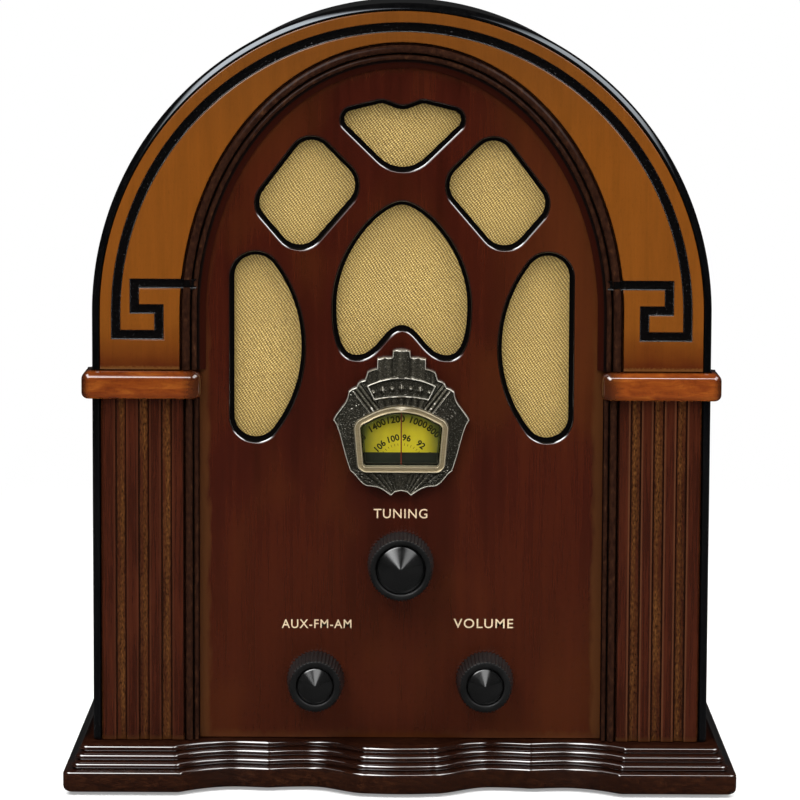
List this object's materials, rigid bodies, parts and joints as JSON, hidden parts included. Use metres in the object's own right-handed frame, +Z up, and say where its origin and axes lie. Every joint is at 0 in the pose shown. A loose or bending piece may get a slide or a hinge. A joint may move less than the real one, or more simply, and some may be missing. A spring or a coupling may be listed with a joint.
{
  "type": "cathedral radio",
  "caption": "Table-top radio in an arched wooden cabinet, with a fret-cut speaker grille, a backlit scale disc geared to its tuning knob, and volume and function knobs.",
  "frame": {"origin": "the middle of the bounding box in plan, at the underside of the rubber feet", "axes": "+Z up, the front grille looks towards -Y, +X to the right as seen from the front"},
  "size_m": [0.254, 0.184, 0.298],
  "materials": {
    "black_lacquer": "gloss",
    "arch_stain": "satin",
    "panel_stain": "satin",
    "dark_stain": "gloss",
    "raw_wood": "matt",
    "hardboard": "matt",
    "grille_cloth": "woven",
    "pewter": "antiqued",
    "bezel_brass": "satin",
    "clear_lens": "polished",
    "scale_print": "backlit print",
    "red_paint": "painted line",
    "black_plastic": "satin",
    "white_plastic": "matt",
    "rubber_feet": "matt",
    "plain_steel": "zinc plated",
    "shaft_brass": "turned",
    "speaker_paper": "pressed pulp",
    "magnet_ferrite": "matt",
    "board": "lacquered board",
    "copper_winding": "enamelled wire",
    "lamp": "warm lamp"
  },
  "bodies": {
    "cabinet": {"aerial_bracket": "white_plastic", "aerial_coil": "copper_winding", "aerial_rod": "magnet_ferrite", "arch_face": "arch_stain", "arch_molding": "dark_stain", "baffle_panel": "panel_stain", "base_plinth": "black_lacquer", "cabinet_shell": "black_lacquer", "capital_left": "arch_stain", "capital_right": "arch_stain", "chassis": "plain_steel", "circuit_board": "board", "cleat_left": "raw_wood", "cleat_right": "raw_wood", "dial_bezel": "bezel_brass", "dial_lamp": "lamp", "dial_lens": "clear_lens", "dial_mask": "black_plastic", "dial_pointer": "red_paint", "escutcheon": "pewter", "foot_front_left": "rubber_feet", "foot_front_right": "rubber_feet", "foot_rear_left": "rubber_feet", "foot_rear_right": "rubber_feet", "function_switch": "white_plastic", "grille_cloth": "grille_cloth", "jack_plate": "black_plastic", "leg_molding_left": "dark_stain", "leg_molding_right": "dark_stain", "mains_transformer": "copper_winding", "pilaster_left": "panel_stain", "pilaster_right": "panel_stain", "rear_cover": "hardboard", "rear_screw_1": "plain_steel", "rear_screw_2": "plain_steel", "rear_screw_3": "plain_steel", "rear_screw_4": "plain_steel", "speaker_basket": "plain_steel", "speaker_magnet": "magnet_ferrite", "speaker_screw_1": "plain_steel", "speaker_screw_2": "plain_steel", "speaker_screw_3": "plain_steel", "speaker_screw_4": "plain_steel", "tuning_bushing": "shaft_brass", "tuning_capacitor": "white_plastic", "volume_control": "plain_steel"},
    "tuning_drive": {"tuning_knob": "black_plastic", "tuning_knob_cap": "black_plastic", "tuning_shaft": "shaft_brass"},
    "idler": {"idler_gear": "white_plastic"},
    "dial": {"dial_disc": "scale_print", "dial_gear": "white_plastic"},
    "volume_drive": {"volume_knob": "black_plastic", "volume_knob_cap": "black_plastic", "volume_shaft": "plain_steel"},
    "function_drive": {"function_knob": "black_plastic", "function_knob_cap": "black_plastic", "function_shaft": "plain_steel"},
    "cone": {"speaker_cone": "speaker_paper", "speaker_dust_cap": "speaker_paper"}
  },
  "joints": [
    {"name": "tuning_turn", "type": "hinge", "parent": "cabinet", "child": "tuning_drive", "pos_m": [0, -0.085, 0.0868], "axis": [0, 1, 0], "range_deg": [-170, 170]},
    {"name": "idler_turn", "type": "hinge", "parent": "cabinet", "child": "idler", "pos_m": [-0.00673, -0.0615, 0.10021], "axis": [0, 1, 0], "range_deg": [-250, 250]},
    {"name": "dial_turn", "type": "hinge", "parent": "cabinet", "child": "dial", "pos_m": [0, -0.0615, 0.1222], "axis": [0, 1, 0], "range_deg": [-85.5, 85.5]},
    {"name": "volume_turn", "type": "hinge", "parent": "cabinet", "child": "volume_drive", "pos_m": [0.032, -0.085, 0.0425], "axis": [0, 1, 0], "range_deg": [-150, 150]},
    {"name": "function_turn", "type": "hinge", "parent": "cabinet", "child": "function_drive", "pos_m": [-0.032, -0.085, 0.0425], "axis": [0, 1, 0], "range_deg": [-30, 30]},
    {"name": "cone_travel", "type": "slide", "parent": "cabinet", "child": "cone", "axis": [0, 1, 0], "range_m": [-0.0015, 0.0015]}
  ],
  "couplings": [
    {"joint": "idler_turn", "follows": "tuning_turn", "ratio": -1.1429},
    {"joint": "dial_turn", "follows": "tuning_turn", "ratio": 0.5}
  ]
}
